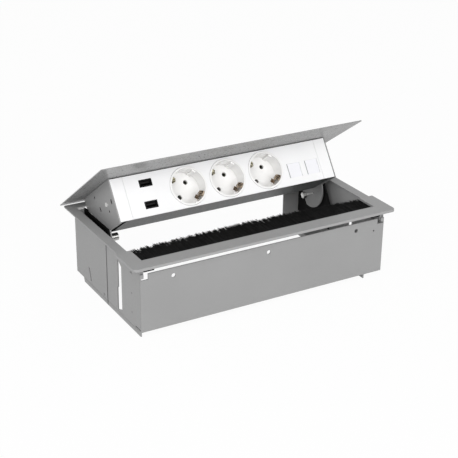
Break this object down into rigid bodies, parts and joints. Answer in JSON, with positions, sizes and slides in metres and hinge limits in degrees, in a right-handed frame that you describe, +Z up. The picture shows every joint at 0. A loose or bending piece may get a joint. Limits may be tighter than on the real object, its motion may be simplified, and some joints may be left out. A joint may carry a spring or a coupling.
{
  "type": "in-desk power module",
  "caption": "Metal box that drops into a desk, with a tilting lid that carries round earthed sockets, charging ports and shuttered data outlets above a cable brush.",
  "frame": {"origin": "middle of the frame at desk-top height, on the underside of the flange", "axes": "+X to the right along the length seen from the user, +Y away from the user, +Z up"},
  "size_m": [0.3208, 0.1893, 0.163],
  "materials": {
    "painted_steel": "fine satin grey paint",
    "lid_steel": "fine satin grey paint",
    "head_dark": "satin dark grey paint",
    "face_white": "smooth white",
    "socket_white": "gloss white",
    "shutter_white": "fine matt white",
    "port_black": "matt black",
    "clip_black": "matt black",
    "brush_black": "matt black nylon bristles",
    "holder_black": "black anodised",
    "bright_steel": "bright plated",
    "screw_steel": "plated",
    "clip_brass": "dull brass",
    "clip_copper": "dull copper-coloured brass"
  },
  "bodies": {
    "desk_box": {"side_wall_left": "painted_steel", "side_wall_right": "painted_steel", "front_panel": "painted_steel", "rivets": "painted_steel", "lower_rail_right": "painted_steel", "support_flange": "painted_steel", "side_pad_left": "clip_black", "side_pad_right": "clip_black", "hinge_pins": "screw_steel", "rest_pins": "bright_steel", "front_trim": "painted_steel", "trim_clips": "clip_black", "trim_tabs": "painted_steel", "brush_holder": "holder_black", "brush_bristles": "brush_black"},
    "lid_and_head": {"lid": "lid_steel", "head_housing": "head_dark", "end_plate_left": "painted_steel", "end_plate_right": "painted_steel", "end_screws": "bright_steel", "stay_sleeve_left": "bright_steel", "stay_pin_right": "bright_steel", "stay_nut_right": "screw_steel", "face_plate": "face_white", "face_end_strips": "face_white", "socket_cup_1": "socket_white", "socket_cup_2": "socket_white", "socket_cup_3": "socket_white", "earth_clips_upper": "clip_brass", "earth_clips_lower": "clip_copper", "pin_contacts": "clip_brass", "usb_port_upper": "port_black", "usb_port_lower": "port_black", "data_outlet_1": "socket_white", "data_outlet_2": "socket_white"},
    "shutter_left": {"data_shutter_1": "shutter_white"},
    "shutter_right": {"data_shutter_2": "shutter_white"}
  },
  "joints": [
    {"name": "lid_tilt", "type": "hinge", "parent": "desk_box", "child": "lid_and_head", "pos_m": [0, 0.0945, 0.0014], "axis": [1, 0, 0], "range_deg": [0, 35.2]},
    {"name": "shutter_left_slide", "type": "slide", "parent": "lid_and_head", "child": "shutter_left", "axis": [0, 0.5764, 0.8171], "range_m": [0, 0.0135], "stiffness_N_per_m": 20, "springref_m": -0.005},
    {"name": "shutter_right_slide", "type": "slide", "parent": "lid_and_head", "child": "shutter_right", "axis": [0, 0.5764, 0.8171], "range_m": [0, 0.0135], "stiffness_N_per_m": 20, "springref_m": -0.005}
  ]
}
